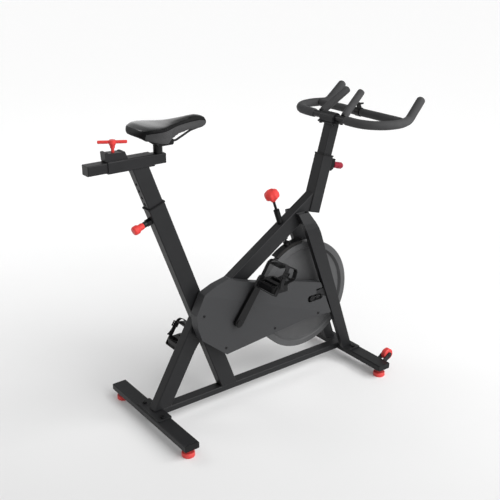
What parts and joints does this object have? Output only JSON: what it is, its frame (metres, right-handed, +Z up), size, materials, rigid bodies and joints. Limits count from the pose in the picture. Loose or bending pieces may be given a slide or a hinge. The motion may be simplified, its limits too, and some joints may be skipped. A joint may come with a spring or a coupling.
{
  "type": "indoor spin bike",
  "caption": "Indoor cycling bike: welded tube frame, guarded belt drive to a heavy flywheel, caged pedals, brake knob, sliding saddle and handlebar posts, levelling feet and rollers.",
  "frame": {"origin": "on the floor under the middle of the overall box", "axes": "+X to the front of the bike, +Y to the rider's left, +Z up"},
  "size_m": [1.239, 0.502, 1.0959],
  "materials": {
    "frame_paint": "satin charcoal powder coat",
    "steel": "machined steel",
    "black_steel": "black oxide",
    "flywheel_iron": "satin grey paint on cast iron",
    "pulley_alloy": "turned aluminium",
    "belt_rubber": "black ribbed belt",
    "guard_plastic": "fine textured dark grey",
    "black_plastic": "moulded black",
    "red_plastic": "coral red moulding",
    "red_rubber": "coral red rubber",
    "strap_webbing": "woven black webbing",
    "grip_foam": "closed-cell foam",
    "saddle_cover": "smooth synthetic cover",
    "brake_felt": "felt brake lining"
  },
  "bodies": {
    "frame": {"rear_stabiliser": "frame_paint", "front_stabiliser": "frame_paint", "stabiliser_end_caps": "black_plastic", "base_rail": "frame_paint", "stabiliser_bolts": "black_steel", "seat_tube": "frame_paint", "rear_leg": "frame_paint", "main_tube": "frame_paint", "head_tube": "frame_paint", "bottom_bracket_shell": "frame_paint", "bearings": "steel", "flywheel_axle": "steel", "axle_hardware": "black_steel", "fork_leg_left": "frame_paint", "fork_leg_right": "frame_paint", "guard_outer": "guard_plastic", "guard_inner": "guard_plastic", "guard_screws": "black_steel", "brake_sleeve": "frame_paint", "post_collars": "black_plastic", "pin_housings": "black_steel", "drive_belt": "belt_rubber"},
    "crankset": {"crank_axle": "steel", "crank_arm_left": "frame_paint", "crank_arm_right": "frame_paint", "crank_pulley": "pulley_alloy"},
    "flywheel_assembly": {"flywheel": "flywheel_iron", "flywheel_pulley": "pulley_alloy"},
    "right_pedal": {"pedal_right": "black_plastic", "toe_cage_right": "black_plastic", "toe_strap_right": "strap_webbing"},
    "left_pedal": {"pedal_left": "black_plastic", "toe_cage_left": "black_plastic", "toe_strap_left": "strap_webbing"},
    "brake_plunger": {"brake_rod": "steel", "brake_pad": "brake_felt"},
    "tension_knob": {"brake_knob": "red_plastic"},
    "seat_mast": {"seat_post": "frame_paint", "slider_sleeve": "frame_paint"},
    "clamp_lever": {"clamp_handle": "red_plastic"},
    "saddle": {"seat_slider": "frame_paint", "slider_end_caps": "black_plastic", "saddle_clamp": "black_steel", "saddle_frame": "black_steel", "saddle_pad": "saddle_cover"},
    "seat_spring_pin": {"seat_pin": "steel", "seat_pin_knob": "red_plastic"},
    "handlebar": {"handlebar_post": "frame_paint", "handlebar_clamp": "frame_paint", "handlebar_tube": "frame_paint", "handlebar_grips": "grip_foam", "device_holder": "black_plastic"},
    "head_spring_pin": {"head_pin": "steel", "head_pin_knob": "red_plastic"},
    "rear_left_foot": {"foot_rear_left": "red_rubber"},
    "rear_right_foot": {"foot_rear_right": "red_rubber"},
    "front_left_foot": {"foot_front_left": "red_rubber"},
    "front_right_foot": {"foot_front_right": "red_rubber"},
    "left_wheel": {"transport_wheel_left": "red_rubber"},
    "right_wheel": {"transport_wheel_right": "red_rubber"}
  },
  "joints": [
    {"name": "flywheel_spin", "type": "hinge", "parent": "frame", "child": "flywheel_assembly", "pos_m": [0.241, 0, 0.33], "axis": [0, 1, 0], "continuous": true},
    {"name": "crank_spin", "type": "hinge", "parent": "frame", "child": "crankset", "pos_m": [-0.114, 0, 0.341], "axis": [0, 1, 0], "continuous": true},
    {"name": "right_pedal_spin", "type": "hinge", "parent": "crankset", "child": "right_pedal", "pos_m": [-0.01362, -0.148, 0.48435], "axis": [0, 1, 0], "continuous": true},
    {"name": "left_pedal_spin", "type": "hinge", "parent": "crankset", "child": "left_pedal", "pos_m": [-0.21438, 0.148, 0.19765], "axis": [0, 1, 0], "continuous": true},
    {"name": "brake_push", "type": "slide", "parent": "frame", "child": "brake_plunger", "axis": [0.333, 0, -0.9429], "range_m": [0, 0.0028], "stiffness_N_per_m": 2000, "springref_m": -0.004},
    {"name": "tension_knob_turn", "type": "hinge", "parent": "brake_plunger", "child": "tension_knob", "pos_m": [0.09515, 0, 0.743], "axis": [-0.333, 0, 0.9429], "continuous": true},
    {"name": "seat_height", "type": "slide", "parent": "frame", "child": "seat_mast", "axis": [-0.3453, 0, 0.9385], "range_m": [-0.1, 0.1]},
    {"name": "seat_clamp_turn", "type": "hinge", "parent": "seat_mast", "child": "clamp_lever", "pos_m": [-0.523, 0, 1.01], "axis": [0, 0, 1], "range_deg": [0, 180]},
    {"name": "saddle_slide", "type": "slide", "parent": "seat_mast", "child": "saddle", "axis": [1, 0, 0], "range_m": [-0.008, 0.055]},
    {"name": "seat_pin_pull", "type": "slide", "parent": "frame", "child": "seat_spring_pin", "axis": [-0.9385, 0, -0.3453], "range_m": [0, 0.01], "stiffness_N_per_m": 1500, "springref_m": -0.005},
    {"name": "handlebar_height", "type": "slide", "parent": "frame", "child": "handlebar", "axis": [0.274, 0, 0.9617], "range_m": [-0.05, 0.09]},
    {"name": "head_pin_pull", "type": "slide", "parent": "frame", "child": "head_spring_pin", "axis": [0.9617, 0, -0.274], "range_m": [0, 0.01], "stiffness_N_per_m": 1500, "springref_m": -0.005},
    {"name": "rear_left_foot_level", "type": "slide", "parent": "frame", "child": "rear_left_foot", "axis": [0, 0, 1], "range_m": [-0.01, 0]},
    {"name": "rear_right_foot_level", "type": "slide", "parent": "frame", "child": "rear_right_foot", "axis": [0, 0, 1], "range_m": [-0.01, 0]},
    {"name": "front_left_foot_level", "type": "slide", "parent": "frame", "child": "front_left_foot", "axis": [0, 0, 1], "range_m": [-0.01, 0]},
    {"name": "front_right_foot_level", "type": "slide", "parent": "frame", "child": "front_right_foot", "axis": [0, 0, 1], "range_m": [-0.01, 0]},
    {"name": "left_wheel_spin", "type": "hinge", "parent": "frame", "child": "left_wheel", "pos_m": [0.518, 0.205, 0.066], "axis": [0, 1, 0], "continuous": true},
    {"name": "right_wheel_spin", "type": "hinge", "parent": "frame", "child": "right_wheel", "pos_m": [0.518, -0.205, 0.066], "axis": [0, 1, 0], "continuous": true}
  ],
  "couplings": [
    {"joint": "crank_spin", "follows": "flywheel_spin", "ratio": 0.28}
  ]
}
